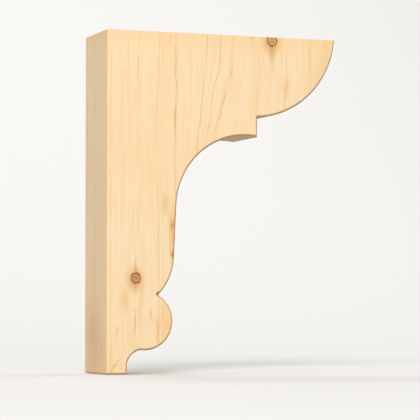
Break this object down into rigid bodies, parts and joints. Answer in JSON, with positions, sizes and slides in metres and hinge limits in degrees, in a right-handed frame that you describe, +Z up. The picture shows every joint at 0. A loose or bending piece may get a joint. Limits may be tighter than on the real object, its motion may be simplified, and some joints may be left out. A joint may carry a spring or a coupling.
{
  "type": "wooden corbel bracket",
  "caption": "Solid pine shelf corbel sawn to a scrolled profile: quarter-round nose, fillet, large cove, straight shank, belly, bead and small cove above a narrow foot.",
  "frame": {"origin": "centre of the upright face that bears on the wall", "axes": "+X out from the wall, +Y across the board's thickness, +Z up"},
  "size_m": [0.1555, 0.044, 0.215],
  "materials": {
    "pine": "planed and sanded bare pine, matt"
  },
  "bodies": {
    "root": {"bracket": "pine"}
  },
  "joints": []
}
